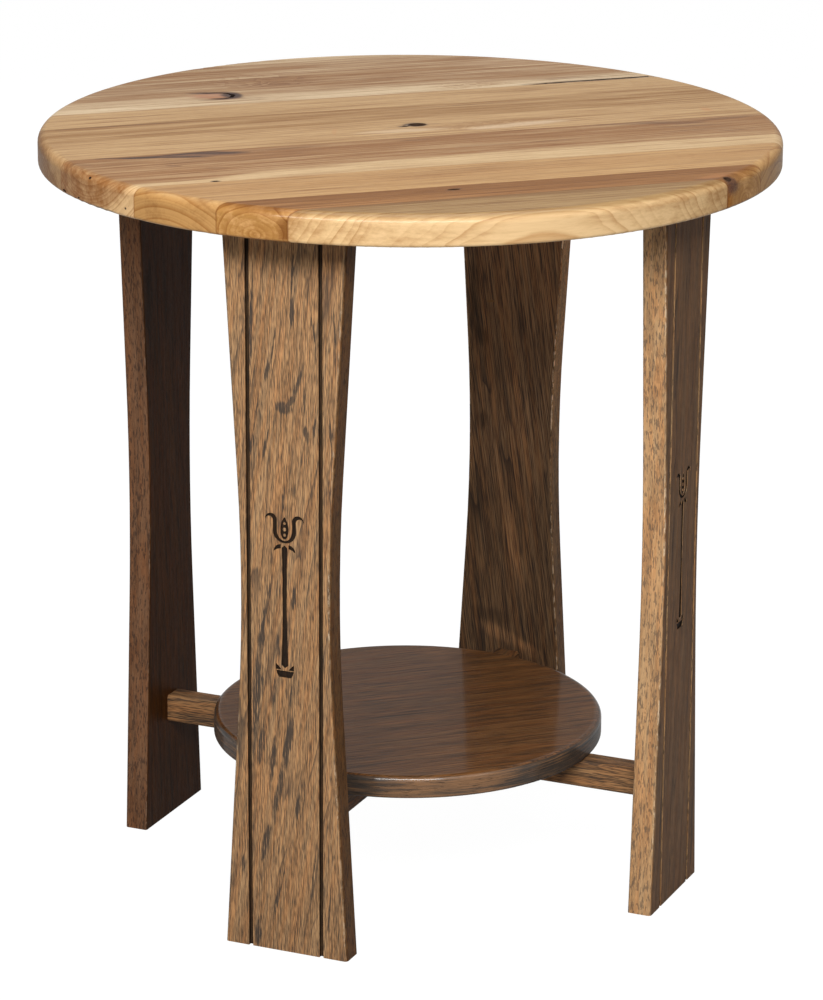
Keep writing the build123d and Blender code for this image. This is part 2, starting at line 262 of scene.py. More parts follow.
class Growth:
    """Rings, fibres and pores of one board.

    along, across and up are places in millimetres, up from the board's face.  pith is where the
    middle of the tree lay, as (across, up).  Knots are (along, across, radius, reach) and bend
    the grain round them.  Bends are (from, to, shift): between two places along the board, the
    grain moves across by shift.  Figures are (along, across, half length, half width, size,
    amount), where the grain is contorted.  sharp is how quickly the dark start of a ring fades,
    wobble and drift are how far the grain strays across, in short waves and in long ones.
    """

    def __init__(self, g, along, across, up, pith, ring, seed, wobble=2.0, drift=5.0, knots=(),
                 bends=(), figures=(), sharp=3.0):
        self.g, self.along, self.across, self.up, self.seed = g, along, across, up, seed
        # how contorted the grain is, and the dark lines of the rings that curl there
        self.figure, self.curl = 0.0, 0.0
        for figure in figures:
            across = self.contorted(across, *figure)
        for knot in knots:
            across = self.round_knot(across, *knot)
        for start, end, shift in bends:
            across = g.sub(across, g.step(along, start, end, 0.0, shift))
        sway = g.noise_along(g.add(g.mul(along, 1 / 210), seed), 1.0)
        across = g.add(across, g.mul(g.sub(sway, 0.5), 2 * drift))
        wave = g.noise(self.stretched(1 / 110, 1 / 26), detail=3)
        across = g.add(across, g.mul(g.sub(wave, 0.5), 2 * wobble))
        aside = g.sub(across, pith[0])
        above = g.sub(up, pith[1])
        self.radius = g.root(g.sum_of_squares(aside, above))
        # where on the face this ring comes out
        under = g.sub(g.sum_of_squares(self.radius), pith[1] ** 2)
        side = g.mul(g.math("SIGN", aside), g.root(under))
        self.outcrop = g.add(side, pith[0])

        uneven = g.noise_along(g.add(g.mul(self.radius, 1 / (3.1 * ring)), seed + 5), 1.0)
        count = g.add(g.mul(self.radius, 1 / ring), g.mul(g.sub(uneven, 0.5), 2.4))
        self.phase = g.math("FRACT", count)
        year = g.math("FLOOR", count)
        self.year_tone = g.node(
            "TexWhiteNoise", {"W": g.add(year, seed)}, noise_dimensions="1D"
        ).outputs[0]
        # a ring begins with a sharp dark line of open pores that fades away outwards
        self.early = g.mul(g.math("POWER", g.sub(1.0, self.phase), sharp),
                           g.step(self.phase, 0.0, 0.25 / sharp))
        self.fibre = g.noise(self.stretched(0.020, 0.9, 1.3), detail=3, roughness=0.6)
        self.streak = g.noise(self.stretched(0.0042, 0.085, 2.9), detail=3, roughness=0.6)
        self.line = g.noise(self.stretched(0.0065, 0.36, 6.7), detail=3, roughness=0.62)
        self.pores = g.step(g.noise(self.stretched(0.085, 1.9, 4.1), detail=1), 0.60, 0.70)

    def contorted(self, across, middle, side, length, width, size, amount):
        """Places across the grain, stirred inside a figure."""
        g, along = self.g, self.along
        u, v = g.mul(g.sub(along, middle), 1 / length), g.mul(g.sub(across, side), 1 / width)
        here = g.step(g.root(g.sum_of_squares(u, v)), 0.35, 1.0, 1.0, 0.0)
        self.figure = g.math("MAXIMUM", self.figure, here)
        swirl = g.noise(g.vector(g.mul(along, 0.6 / size), g.mul(across, 1 / size),
                                 g.math("MULTIPLY_ADD", self.up, 1 / size, self.seed)), detail=2)
        stirred = g.add(across, g.mul(g.mul(g.sub(swirl, 0.5), 2 * amount), here))
        # wide rings, cut almost along their own surface, come out as curling lines
        after = g.sub(1.0, g.math("FRACT", g.mul(swirl, CURLS)))
        self.curl = g.math("MAXIMUM", self.curl, g.mul(here, g.math("POWER", after, 1.6)))
        return stirred

    def round_knot(self, across, knot_along, knot_across, radius, reach):
        """Places across the grain, where it parts round a knot."""
        g = self.g
        x = g.mul(g.sub(self.along, knot_along), 1 / reach)
        y = g.sub(across, knot_across)
        spread = g.add(g.sum_of_squares(x, y), 0.4 * radius ** 2)
        push = g.math("DIVIDE", radius ** 2, spread)
        return g.sub(across, g.mul(y, push))

    def stretched(self, along_scale, across_scale, shift=0.0):
        """The place in the wood for a noise that is longer along the grain than across it."""
        g = self.g
        return g.vector(
            g.math("MULTIPLY_ADD", self.along, along_scale, self.seed + shift),
            g.mul(self.across, across_scale),
            g.mul(self.up, across_scale),
        )

    def mark(self, along, across, half_length, half_width, tilt=0.0, soft=0.4, ragged=0.5,
             fray=0.0, depth=None):
        """A ragged oval or streak on the face: 1 inside, 0 outside.

        tilt is in degrees from the grain, soft and ragged say how its edge is, fray how much the
        fibres break it up, and depth how deep it goes into the wood.
        """
        g = self.g
        da, dc = g.sub(self.along, along), g.sub(self.across, across)
        cosine, sine = math.cos(math.radians(tilt)), math.sin(math.radians(tilt))
        u = g.math("MULTIPLY_ADD", da, cosine / half_length, g.mul(dc, sine / half_length))
        v = g.math("MULTIPLY_ADD", dc, cosine / half_width, g.mul(da, -sine / half_width))
        distance = g.root(g.sum_of_squares(u, v))
        if ragged:
            grain = 0.9 / max(half_width, 1.5)
            rough = g.noise(self.stretched(0.25 * grain, grain, along), detail=3)
            distance = g.add(distance, g.mul(g.sub(rough, 0.5), 2 * ragged))
        inside = g.step(distance, 1 - soft, 1 + soft, 1.0, 0.0)
        if fray:
            inside = g.mul(inside, g.step(self.fibre, 0.55, 0.40, 1 - fray, 1.0))
        if depth:
            inside = g.mul(inside, g.step(self.up, -2 * depth, -depth))
        return inside


# ---- natural hickory of the top --------------------------------------------------------------
DUSK = (0.045, 0.020, 0.014)
PURPLE = (0.090, 0.040, 0.030)
UMBER = (0.140, 0.060, 0.026)
BLACK = (0.018, 0.012, 0.010)
ORANGE = (0.50, 0.21, 0.075)
PINK = (0.40, 0.185, 0.10)
CREAM = (0.74, 0.55, 0.36)

# Each board: its growth, the colours of its sapwood and heartwood, how brown it is from front to
# back as (across, level) stops, how strongly its rings show on the rim, and what oil does to its
# end grain.  face_tint is for its face alone, and lively says how much its tone changes.
TOP_BOARDS = {
    "top_board_1": dict(
        growth=dict(pith=(-190, 8), ring=4.2, seed=1.7, sharp=2.6),
        pale=(0.71, 0.485, 0.25), brown=(0.45, 0.25, 0.10),
        tones=((-305, 0.0), (-290, 0.1), (-275, 0.35), (-262, 0.2), (-254, 0.6), (-246, 1.0)),
        rings=0.62, end_tint=(0.98, 0.95, 0.88), face_tint=(0.55, 0.51, 0.42),
    ),
    "top_board_2": dict(
        growth=dict(pith=(-229, -21), ring=3.4, seed=4.2, sharp=1.6, wobble=3.4),
        pale=(0.415, 0.20, 0.063), brown=(0.250, 0.103, 0.022),
        tones=((-247, 0.5), (-240, 0.7), (-222, 1.05), (-206, 0.95)),
        rings=0.85, end_tint=(1.8, 2.2, 2.9),
    ),
    "top_board_3": dict(
        growth=dict(pith=(-166, -62), ring=3.6, seed=7.9, sharp=1.3),
        pale=(0.558, 0.336, 0.140), brown=(0.405, 0.223, 0.087),
        tones=((-207, 0.45), (-200, 0.1), (-194, 0.15), (-188, 0.7), (-181, 0.25), (-166, 0.1),
               (-157, 0.15), (-152, 0.6), (-146, 0.3), (-139, 0.1)),
        rings=0.75, end_tint=(0.92, 0.83, 0.68),
    ),
    "top_board_4": dict(
        growth=dict(pith=(-51, 38), ring=3.4, seed=12.4, sharp=1.6,
                    bends=((-140, -235, -20), (-60, -130, -5))),
        pale=(0.66, 0.467, 0.252), brown=(0.325, 0.155, 0.052),
        tones=((-140, 0.0), (-118, 0.0), (-109, 0.1), (-104, 0.65), (-84, 0.85), (-52, 0.95),
               (-33, 0.85)),
        rings=0.7, end_tint=(1.10, 1.02, 0.95), lively=0.65,
    ),
    "top_board_5": dict(
        growth=dict(pith=(57, -140), ring=4.6, seed=15.1, sharp=2.0,
                    knots=((7, 11, 9, 2.2), (-60, 4, 4, 3)),
                    figures=((70, -8, 75, 22, 13, 7),)),
        pale=(0.56, 0.36, 0.172), brown=(0.345, 0.180, 0.060),
        tones=((-34, 0.1), (-20, 0.1), (0, 0.15), (25, 0.15), (31, 0.7), (44, 0.55), (58, 0.85),
               (72, 0.55), (77, 0.95), (81, 0.5), (86, 0.05), (108, 0.0), (118, 0.15), (131, 0.1)),
        rings=0.7, end_tint=(0.95, 0.86, 0.76),
    ),
    "top_board_6": dict(
        growth=dict(pith=(236, -34), ring=5.0, seed=21.6, sharp=2.0,
                    knots=((-118, 166, 15, 1.6),), bends=((-260, 60, -12),),
                    figures=((-62, 212, 62, 42, 26, 26), (102, 146, 52, 16, 14, 9))),
        pale=(0.73, 0.565, 0.36), brown=(0.345, 0.180, 0.070),
        tones=((130, 0.0), (150, 0.1), (162, 0.25), (172, 0.7), (182, 0.85), (240, 0.9),
               (270, 0.85), (305, 0.3)),
        rings=0.6, end_tint=(0.95, 0.86, 0.76), lively=0.78,
    ),
}
# Marks are (colour, along, across, half length, half width, tilt, strength).
TOP_MARKS = {
    "top_board_2": (
        (UMBER, -37, -218, 7, 2.0, 15, 0.9), (UMBER, -57, -220, 7, 1.3, -10, 0.4),
        (UMBER, 166, -243.5, 13, 2.6, 0, 0.8), (UMBER, 190, -239, 13, 7, 10, 0.5),
        (PURPLE, 187, -242, 10, 5, 10, 0.9), (ORANGE, 172, -236, 14, 5, 20, 0.5),
    ),
    "top_board_3": ((UMBER, -150, -172, 14, 1.2, 2, 0.3),),
    "top_board_4": (
        (PURPLE, -190, -43.5, 36, 8.0, -5, 0.8), (UMBER, -262, -37, 26, 2.2, -14, 1.0),
        (DUSK, -237, -41.4, 22, 3.4, -8, 1.0), (DUSK, -206, -48.2, 20, 2.4, -13, 1.0),
        (DUSK, -198, -37.4, 26, 2.0, 5, 0.9), (DUSK, -174, -43.1, 21, 3.2, -11, 0.9),
        (UMBER, -291, -50, 12, 3.5, -30, 0.4), (UMBER, -222, -76.5, 7, 1.5, -17, 0.85),
        (UMBER, -191, -93.3, 10, 1.4, -17, 0.7), (UMBER, -120, -43, 34, 5, 2, 0.4),
        (UMBER, -170, -64, 60, 12, 0, 0.2), (UMBER, -272, -56, 34, 14, 0, 0.22),
        (UMBER, 172, -36, 36, 5.0, -9, 0.65), (UMBER, 214, -46, 26, 6.5, -12, 0.7),
        (UMBER, 262, -42, 26, 3.6, 4, 0.7), (UMBER, 150, -32, 10, 3.0, 0, 0.6),
        (UMBER, 40, -78, 30, 1.7, 0, 0.55), (UMBER, 96, -79, 22, 1.7, 1, 0.6),
        (UMBER, 226, -62, 30, 2.6, -3, 0.6), (UMBER, 224, -76, 34, 3.0, 2, 0.5),
        (UMBER, 250, -86, 16, 1.8, 0, 0.6), (UMBER, -212, -66, 18, 3.8, 6, 0.35),
        (BLACK, -205, -137, 4.0, 2.4, 0, 0.9),
        (UMBER, -8, -45, 16, 2.6, -4, 0.55), (UMBER, -20, -37, 14, 1.6, 0, 0.5),
    ),
    "top_board_5": (
        (UMBER, -224, 77, 66, 1.9, 0.6, 0.75), (ORANGE, 259, -6, 4, 7, 10, 0.6),
        (UMBER, 60, 70, 60, 1.6, -0.5, 0.4), (CREAM, 88, -14, 44, 7, 5, 0.7),
        (CREAM, -10, -9, 36, 6, -3, 0.6), (ORANGE, -64, 4, 10, 2.2, 70, 0.4),
        (DUSK, 7.5, 9.6, 9.5, 7.4, -14, 1.0), (DUSK, -2.5, 6.8, 6, 2.8, 10, 0.9),
        (CREAM, 1, 10.5, 3.4, 1.0, 35, 0.5), (CREAM, 3.5, 7.5, 3, 0.9, 30, 0.4),
        (UMBER, 22, 9, 8, 2.0, 0, 0.45), (UMBER, -14, 6, 8, 1.6, 4, 0.45),
    ),
    "top_board_6": (
        (PINK, -121, 166, 17, 10.0, -8, 0.95), (ORANGE, -128, 170, 9, 2.4, -10, 0.5),
        (UMBER, -119, 178.6, 20, 4.2, -12, 1.0), (UMBER, -114, 154.4, 14, 4.4, 0, 1.0),
        (UMBER, -131, 152, 9, 2.8, -20, 0.5), (ORANGE, -120, 160, 8, 2.4, -10, 0.5),
        (DUSK, -105.5, 165, 8, 11.5, 0, 1.0), (DUSK, -102.5, 165, 6.5, 9.5, 0, 1.0),
        (DUSK, -119, 178.4, 14, 2.2, -12, 0.8), (DUSK, -113, 154.6, 11, 2.4, 0, 0.7),
        (UMBER, -93, 149, 13, 8, -20, 0.3), (UMBER, 215, 146, 46, 1.4, -1, 0.6),
        (UMBER, 205, 134, 64, 3.6, 0, 0.6), (DUSK, 226, 133.2, 66, 2.4, 0, 1.0),
        (DUSK, 168, 131.0, 22, 1.6, 3, 0.8), (UMBER, 196, 150, 34, 3.0, 2, 0.35),
        (UMBER, -185, 212, 78, 34, 0, 0.22), (CREAM, 205, 232, 70, 24, 0, 0.3),
    ),
}

# ---- what is open in the top: pits, and cracks along the grain -------------------------------
# Pits are (along, across, up, their three half sizes).  Cracks are (along, across, half width,
# depth) at points of their line.
PITS = {
    "top_board_2": (
        (184.0, -242.0, -0.8, 5.5, 2.6, 2.2), (-37, -218, 0.1, 4.2, 1.9, 1.1),
    ),
    "top_board_4": (
        (-205, -137, 0.1, 2.0, 1.1, 0.8),
        (-274.2, -129.6, -18.2, 1.6, 1.2, 1.1), (-272.5, -133.3, -15.6, 1.2, 0.6, 0.8),
        (-274.6, -127.0, -21.0, 1.3, 0.6, 0.7), (-291.5, -83.2, -3.4, 1.3, 1.3, 0.9),
        (-302.0, -41.0, -22.3, 1.0, 3.0, 0.8), (-296.3, -66.5, -22.2, 1.0, 2.4, 0.9),
    ),
    "top_board_5": ((9.0, 9.6, 0.3, 6.2, 4.8, 1.8), (-2.0, 6.8, 0.2, 2.4, 1.6, 0.6)),
}
CRACKS = {
    "top_board_6": (
        ((148, 131.2, 0.2, 0.8), (158, 131.8, 0.9, 3), (172, 132.4, 1.4, 6), (190, 133.0, 1.1, 6),
         (210, 133.4, 1.4, 8), (235, 133.8, 1.6, 9), (258, 134.2, 1.8, 11), (292, 134.6, 2.0, 12)),
        ((152, 142.2, 0.1, 0.5), (163, 142.9, 0.4, 1.5), (178, 142.4, 0.5, 2),
         (197, 141.6, 0.3, 1.5), (214, 141.0, 0.1, 0.5)),
        ((-126, 154.2, 0.2, 0.6), (-116, 153.4, 0.8, 1.6), (-107, 157.2, 1.5, 2.4),
         (-103.2, 165.5, 2.0, 2.8), (-106.5, 174.0, 1.5, 2.4), (-115, 179.0, 0.8, 1.6),
         (-127, 178.4, 0.2, 0.6)),
    ),
}


PIT_KNOBS = 0.35             # how knobbly a pit is, as a share of its size
CRACK_STEPS = 7              # between two points of a crack's line
CRACK_WAVER = 0.35           # how far a crack strays to the side
CRACK_RAGGED = 0.5           # how much its width changes, as a share
ABOVE_FACE = 2.0             # how far its cutter stands out of the face
WELD_DISTANCE = 1e-6         # in metres
FLAT_ANGLE = math.radians(0.05)
SMOOTH_ANGLE = math.radians(32)


def top_point(along, across, up):
    """A place in the top, measured along and across the boards and up from the face."""
    turn = math.radians(GRAIN_ANGLE)
    return Vector((
        along * math.cos(turn) - across * math.sin(turn),
        along * math.sin(turn) + across * math.cos(turn),
        TOP_Z + up,
    )) * MM


def pit_cutter(pit, seed):
    """A knobbly blob."""
    *centre, half_along, half_across, half_up = pit
    form = bmesh.new()
    bmesh.ops.create_icosphere(form, subdivisions=3, radius=1.0)
    for vertex in form.verts:
        swell = 1 + PIT_KNOBS * noise.noise(vertex.co * 1.7 + Vector((seed, 0, 0)))
        x, y, z = vertex.co * swell
        vertex.co = top_point(
            centre[0] + x * half_along, centre[1] + y * half_across, centre[2] + z * half_up
        )
    return form


def crack_cutter(points, seed):
    """A wavy wedge, open at the face, along a line of points."""
    curve = []
    for start, end in zip(points, points[1:]):
        for step in range(CRACK_STEPS):
            share = step / CRACK_STEPS
            curve.append([a + (b - a) * share for a, b in zip(start, end)])
    curve.append(list(points[-1]))
    form = bmesh.new()
    rings = []
    for index, (along, across, half_width, depth) in enumerate(curve):
        before, after = curve[max(index - 1, 0)], curve[min(index + 1, len(curve) - 1)]
        run = Vector((after[0] - before[0], after[1] - before[1])).normalized()
        waver = noise.noise(Vector((index * 0.31, seed, 0.5)))
        ragged = 1 + CRACK_RAGGED * noise.noise(Vector((index * 0.83, seed, 8.5)))
        across += CRACK_WAVER * waver
        side = Vector((-run.y, run.x)) * half_width * ragged
        right = ((1.25, ABOVE_FACE), (0.9, -0.4 * depth), (0.12, -depth))
        left = [(-share, up) for share, up in reversed(right)]
        rings.append([
            form.verts.new(top_point(along + share * side.x, across + share * side.y, up))
            for share, up in (*right, *left)
        ])
    for first, second in zip(rings, rings[1:]):
        for corner in range(6):
            following = (corner + 1) % 6
            form.faces.new((first[corner], first[following], second[following], second[corner]))
    form.faces.new(reversed(rings[0]))
    form.faces.new(rings[-1])
    bmesh.ops.recalc_face_normals(form, faces=form.faces)
    return form


def as_object(name, form):
    mesh = bpy.data.meshes.new(name)
    form.to_mesh(mesh)
    form.free()
    piece = bpy.data.objects.new(name, mesh)
    bpy.context.scene.collection.objects.link(piece)
    return piece


def opened(node, cutters):
    """A copy of a board with pits and cracks cut into it, which stands for the node."""
    form = bmesh.new()
    form.from_mesh(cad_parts[node].data)
    bmesh.ops.remove_doubles(form, verts=form.verts, dist=WELD_DISTANCE)
    bmesh.ops.dissolve_limit(form, angle_limit=FLAT_ANGLE, verts=form.verts, edges=form.edges)
    piece = as_object(node + "_opened", form)
    tools = []
    for number, cutter in enumerate(cutters):
        tool = as_object(f"{node}_cutter_{number}", cutter)
        cut = piece.modifiers.new(f"cut_{number}", "BOOLEAN")
        cut.operation = "DIFFERENCE"
        cut.solver = "EXACT"
        cut.object = tool
        tools.append(tool)
    graph = bpy.context.evaluated_depsgraph_get()
    mesh = bpy.data.meshes.new_from_object(piece.evaluated_get(graph))
    piece.modifiers.clear()
    piece.data = mesh
    for tool in tools:
        bpy.data.objects.remove(tool)
    mesh.shade_smooth()
    mesh.set_sharp_from_angle(angle=SMOOTH_ANGLE)
    weighted = piece.modifiers.new("weighted_normals", "WEIGHTED_NORMAL")
    weighted.keep_sharp = True
    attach(piece, "root")
    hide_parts(node)
    return piece


RING_TINT = (0.56, 0.375, 0.195)
PORE_TINT = (0.56, 0.42, 0.30)
SEAM_TINT = (0.60, 0.46, 0.34)
TOP_COAT = 0.24
HOLLOW = (0.036, 0.020, 0.012)
ACROSS = Vector((-math.sin(math.radians(GRAIN_ANGLE)), math.cos(math.radians(GRAIN_ANGLE)), 0))

# Where one look of the top gives way to another: distances from its axis, and heights from its
# face.
TOP_RIM = (TOP_RADIUS - 9, TOP_RADIUS - 3)
TOP_FACE = (TOP_RADIUS - 0.5, TOP_RADIUS - 3.5)
CRACK_RADIUS = (TOP_RADIUS - 8.5, TOP_RADIUS - 10)
CRACK_TOP = (-0.05, -0.3)
CRACK_FLOOR = (-22.0, -20.0)
MARK_DEPTH = 9               # how deep the dark marks go into the wood
SEAM_LINE = (0.9, 0.1)       # how wide the dark line on a glue seam is, to either side
SEAM_IN_RIM = 12             # within this distance of the rim, a board's edge is no seam
FACE_RINGS = 0.32            # how strongly rings show on the face


def seams(name):
    """The two places across the boards where a board ends."""
    places = [vertex.co.dot(ACROSS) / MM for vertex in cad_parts[name].data.vertices]
    return min(places), max(places)


def tinged(g, colour, tint, share):
    """A colour, multiplied by a tint where share is 1."""
    return g.mix(share, colour, g.mix(1.0, colour, tint, "MULTIPLY"))


def in_pit(g, place, pit):
    """How deep in the shade of a pit a place lies."""
    parts = zip(place, pit[:3], pit[3:])
    distance = g.root(g.sum_of_squares(
        *(g.mul(g.sub(value, middle), 1 / half) for value, middle, half in parts)
    ))
    return g.step(distance, 1.45, 1.1, 0.0, 0.95)


def top_material(name, growth, pale, brown, tones, rings, end_tint, face_tint=None, lively=1.0):
    g = Graph(name + "_natural_hickory")
    along, across, height = g.place(GRAIN_ANGLE)
    up = g.sub(height, TOP_Z)
    wood = Growth(g, along, across, up, **growth)

    from_axis = g.root(g.sum_of_squares(along, across))
    rim = g.step(from_axis, *TOP_RIM)
    tone = g.ramp(wood.outcrop, tones[0][0], tones[-1][0], tones)
    tone = g.add(tone, g.mul(g.sub(wood.streak, 0.5), 2.4 * lively))
    line_share = g.math("MULTIPLY_ADD", rim, -1.8 * lively, 3.0 * lively)
    tone = g.add(tone, g.mul(g.sub(wood.line, 0.5), line_share))
    colour = g.mix(g.math("MINIMUM", g.math("MAXIMUM", tone, -0.3), 1.5), pale, brown)
    # scattered thin dark lines with ragged ends
    thin = g.mul(g.step(wood.line, 0.58, 0.66, 0.0, 0.55), g.sub(1.0, rim))
    colour = tinged(g, colour, RING_TINT, thin)

    if face_tint:
        colour = tinged(g, colour, face_tint, g.step(from_axis, *TOP_FACE))

    # end grain drinks more oil
    end_grain = g.step(g.math("ABSOLUTE", g.facing(GRAIN_ANGLE)[0]), 0.25, 0.8)
    colour = tinged(g, colour, end_tint, end_grain)

    # rings show on the rim and in contorted grain, fibres and pores on the face
    ring_share = g.mul(g.mul(wood.early, g.add(0.25, wood.year_tone)),
                       g.math("MULTIPLY_ADD", rim, rings - FACE_RINGS, FACE_RINGS))
    ring_share = g.mul(ring_share, g.math("MULTIPLY_ADD", wood.figure, 2.4, 1.0))
    colour = tinged(g, colour, RING_TINT, ring_share)
    if "figures" in growth:
        colour = tinged(g, colour, RING_TINT, g.mul(wood.curl, 0.6))
    fibre_share = g.step(wood.fibre, 0.60, 0.36, 0.0, 0.45)
    fibre_share = g.mul(fibre_share, g.math("MULTIPLY_ADD", rim, -0.8, 1.0))
    colour = tinged(g, colour, PORE_TINT, fibre_share)
    pore_share = g.mul(wood.pores, g.math("MULTIPLY_ADD", wood.early, 0.5, 0.3))
    pore_share = g.mul(pore_share, g.math("MULTIPLY_ADD", rim, -0.7, 1.0))
    colour = tinged(g, colour, PORE_TINT, pore_share)

    for tint, *shape, strength in TOP_MARKS.get(name, ()):
        mark = wood.mark(*shape, fray=1 - 0.85 * strength, depth=MARK_DEPTH)
        colour = g.mix(g.mul(mark, strength), colour, tint)

    # pits and cracks are dull, and painted dark inside: partly their own dark wood and partly
    # painted shade
    dull = 0.0
    for pit in PITS.get(name, ()):
        hollow = in_pit(g, (along, across, up), pit)
        colour = g.mix(hollow, colour, HOLLOW)
        dull = g.math("MAXIMUM", dull, hollow)
    if name in CRACKS:
        inside = g.mul(g.step(up, *CRACK_TOP), g.step(up, *CRACK_FLOOR))
        inside = g.mul(inside, g.step(from_axis, *CRACK_RADIUS))
        colour = g.mix(inside, colour, BLACK)
        dull = g.math("MAXIMUM", dull, inside)

    for seam in seams(name):
        if abs(seam) < TOP_RADIUS - SEAM_IN_RIM:
            beside = g.math("ABSOLUTE", g.sub(across, seam))
            colour = tinged(g, colour, SEAM_TINT, g.step(beside, *SEAM_LINE, 0.0, 0.75))

    relief = g.sub(g.mul(wood.fibre, 0.3), g.mul(wood.pores, 0.5))
    roughness = g.step(wood.fibre, 0.3, 0.7, 0.46, 0.36)
    coat = TOP_COAT
    if dull:
        roughness = g.math("MAXIMUM", roughness, dull)
        coat = g.math("MULTIPLY_ADD", dull, -TOP_COAT, TOP_COAT)
    g.feed(g.shader.inputs["Coat Weight"], coat)
    return g.finish(colour, roughness, relief, 0.06, Specular_IOR_Level=0.1, Coat_Roughness=0.12)


# ---- stained hickory of the legs, rails and shelf --------------------------------------------
STAIN_TAN = (0.40, 0.225, 0.105)
STAIN_BROWN = (0.235, 0.125, 0.058)
STAIN_GREY = (0.060, 0.047, 0.038)
STAIN_BLACK = (0.013, 0.009, 0.007)
RUST = (0.30, 0.15, 0.06)
WORN = (0.62, 0.46, 0.30)
PALER = (1.5, 1.5, 1.45)
GLOW = (1.9, 1.75, 1.6)
WARMER, COOLER = (1.05, 0.96, 0.89), (0.95, 1.0, 1.06)
RING_SPACING = 13


def tinted(colour, tint):
    return tuple(channel * share for channel, share in zip(colour, tint))


def stained(wood, tint, lean=9.0, streaks=0.9, speckle=None, marks=(), rings=0.9, bite=1.0,
            coarse=1.0, reach=1.0, stray=1.0, slanted=False):
    """Colour, roughness and relief of open-pored hickory under a dark stain.

    lean is how far the rings lean across the grain in degrees, rings how dark their lines are,
    streaks how dark the feathered patches are, and stray how many there are besides the given
    marks.  bite is how strongly the fine grain shows, coarse how large it is, and reach how much
    longer than usual it is.  Where slanted is set, the fine grain leans with the rings.  speckle
    is 1 on quarter-sawn edges, which have short dark flecks.
    """
    g = wood.g
    tan, brown, grey = (tinted(c, tint) for c in (STAIN_TAN, STAIN_BROWN, STAIN_GREY))
    leaning = g.sub(wood.across, g.mul(wood.along, math.tan(math.radians(lean))))

    def grain(sideways, length, width, shift, detail=2, roughness=0.55):
        """Noise of about this length and width in millimetres, shift picks its own pattern."""
        return g.noise(g.vector(
            g.math("MULTIPLY_ADD", wood.along, 1 / (coarse * length), wood.seed + shift),
            g.mul(sideways, 1 / (coarse * width)), g.mul(wood.up, 1 / (coarse * width)),
        ), detail, roughness)

    upright = leaning if slanted else wood.across
    short = grain(upright, 8.5 * reach, 0.44, 5.9, 1)
    long = grain(upright, 28 * reach, 0.62, 3.1, 0)
    dash = g.math("MULTIPLY_ADD", short, 0.62, g.mul(long, 0.38))
    thread = grain(upright, 60, 1.5, 1.9, 2, 0.6)
    cloud = grain(leaning, 170, 8.0, 2.2, 2, 0.5)
    light = tinted(tan, PALER)
    colour = g.mix(g.step(cloud, 0.36, 0.64, 0.1, 0.8), tan, brown)
    colour = g.mix(g.step(thread, 0.52, 0.64, 0.0, 0.24 * bite), colour, brown)
    colour = g.mix(g.step(thread, 0.48, 0.36, 0.0, 0.10 * bite), colour, light)
    colour = g.mix(g.step(dash, 0.50, 0.39, 0.0, 0.38 * bite), colour, light)
    warmth = grain(leaning, 110, 4.5, 8.8, 2, 0.6)
    colour = tinged(g, colour, WARMER, g.step(warmth, 0.48, 0.62))
    colour = tinged(g, colour, COOLER, g.step(warmth, 0.48, 0.38))
    dashes = g.step(dash, 0.50, 0.60)

    # the dark start of a ring, broken, which fades away to one side
    uneven = g.sub(grain(leaning, 150, 17, 7.1, 1), 0.5)
    turns = g.math("MULTIPLY_ADD", leaning, 1 / RING_SPACING, g.mul(uneven, 3.2))
    phase = g.math("FRACT", turns)
    after = g.sub(1.0, phase)
    start = g.step(phase, 0.0, 0.04)
    broken = g.step(grain(leaning, 50, 9, 4.4, 1), 0.40, 0.60)
    ring_line = g.mul(g.mul(g.math("POWER", after, 5.0), start), broken)
    # feathered patches along a ring, and the listed ones, frayed by the short dashes
    patch = g.step(grain(leaning, 60, 6, 3.7, 1), 0.60, 0.74, 0.0, stray)
    patch = g.mul(g.mul(patch, g.math("POWER", after, 1.5)), start)
    for shape in marks:
        patch = g.math("MAXIMUM", patch, wood.mark(*shape, soft=0.55, ragged=0.0))
    fray = g.add(g.mul(g.sub(dash, 0.5), 2.4), g.mul(g.sub(thread, 0.5), 0.8))
    frayed = g.step(g.math("MULTIPLY_ADD", patch, 0.9, fray), 0.34, 0.84)

    dash_share = g.mul(dashes, 0.50 * bite)
    if speckle is not None:
        flecks = g.step(grain(wood.across, 7.5, 1.3, 5.5, 2, 0.6), 0.53, 0.60)
        dash_share = g.mix(speckle, dash_share, g.mul(flecks, 0.62))
        plain = g.math("MULTIPLY_ADD", speckle, -0.8, 1.0)
        frayed, ring_line = g.mul(frayed, plain), g.mul(ring_line, plain)
    colour = g.mix(dash_share, colour, grey)
    colour = g.mix(g.mul(ring_line, rings), colour, grey)
    colour = g.mix(g.mul(frayed, streaks), colour, grey)
    depth = g.add(g.mul(dash_share, 1.2), g.mul(g.math("MAXIMUM", frayed, ring_line), 0.4))
    relief = g.sub(g.mul(wood.fibre, 0.3), depth)
    roughness = g.step(wood.fibre, 0.3, 0.7, 0.56, 0.44)
    return colour, roughness, relief


# The legs' grooves lie between these distances from their middle line, the carving within them.
GROOVE_INSIDE = (25.0, 26.0)
GROOVE_OUTSIDE = (34.0, 34.6)
# Depths in a leg: where the carving and the grooves turn black, and what is no cut any more.
CARVING_SHADE = (0.15, 0.6)
GROOVE_SHADE = (0.5, 2.0)
BELOW_CUTS = (3.05, 3.3)
# Facing outwards or inwards, on a leg whose outer face looks along -Y.
OUTWARDS, INWARDS = (0.3, -0.3), (-0.3, 0.3)
PAINTED_LIGHT_HEIGHTS = (230, 460)         # heights over which a leg is painted lighter: painted light in the top's shadow
LEG_PITH = (3.0, -70.0)


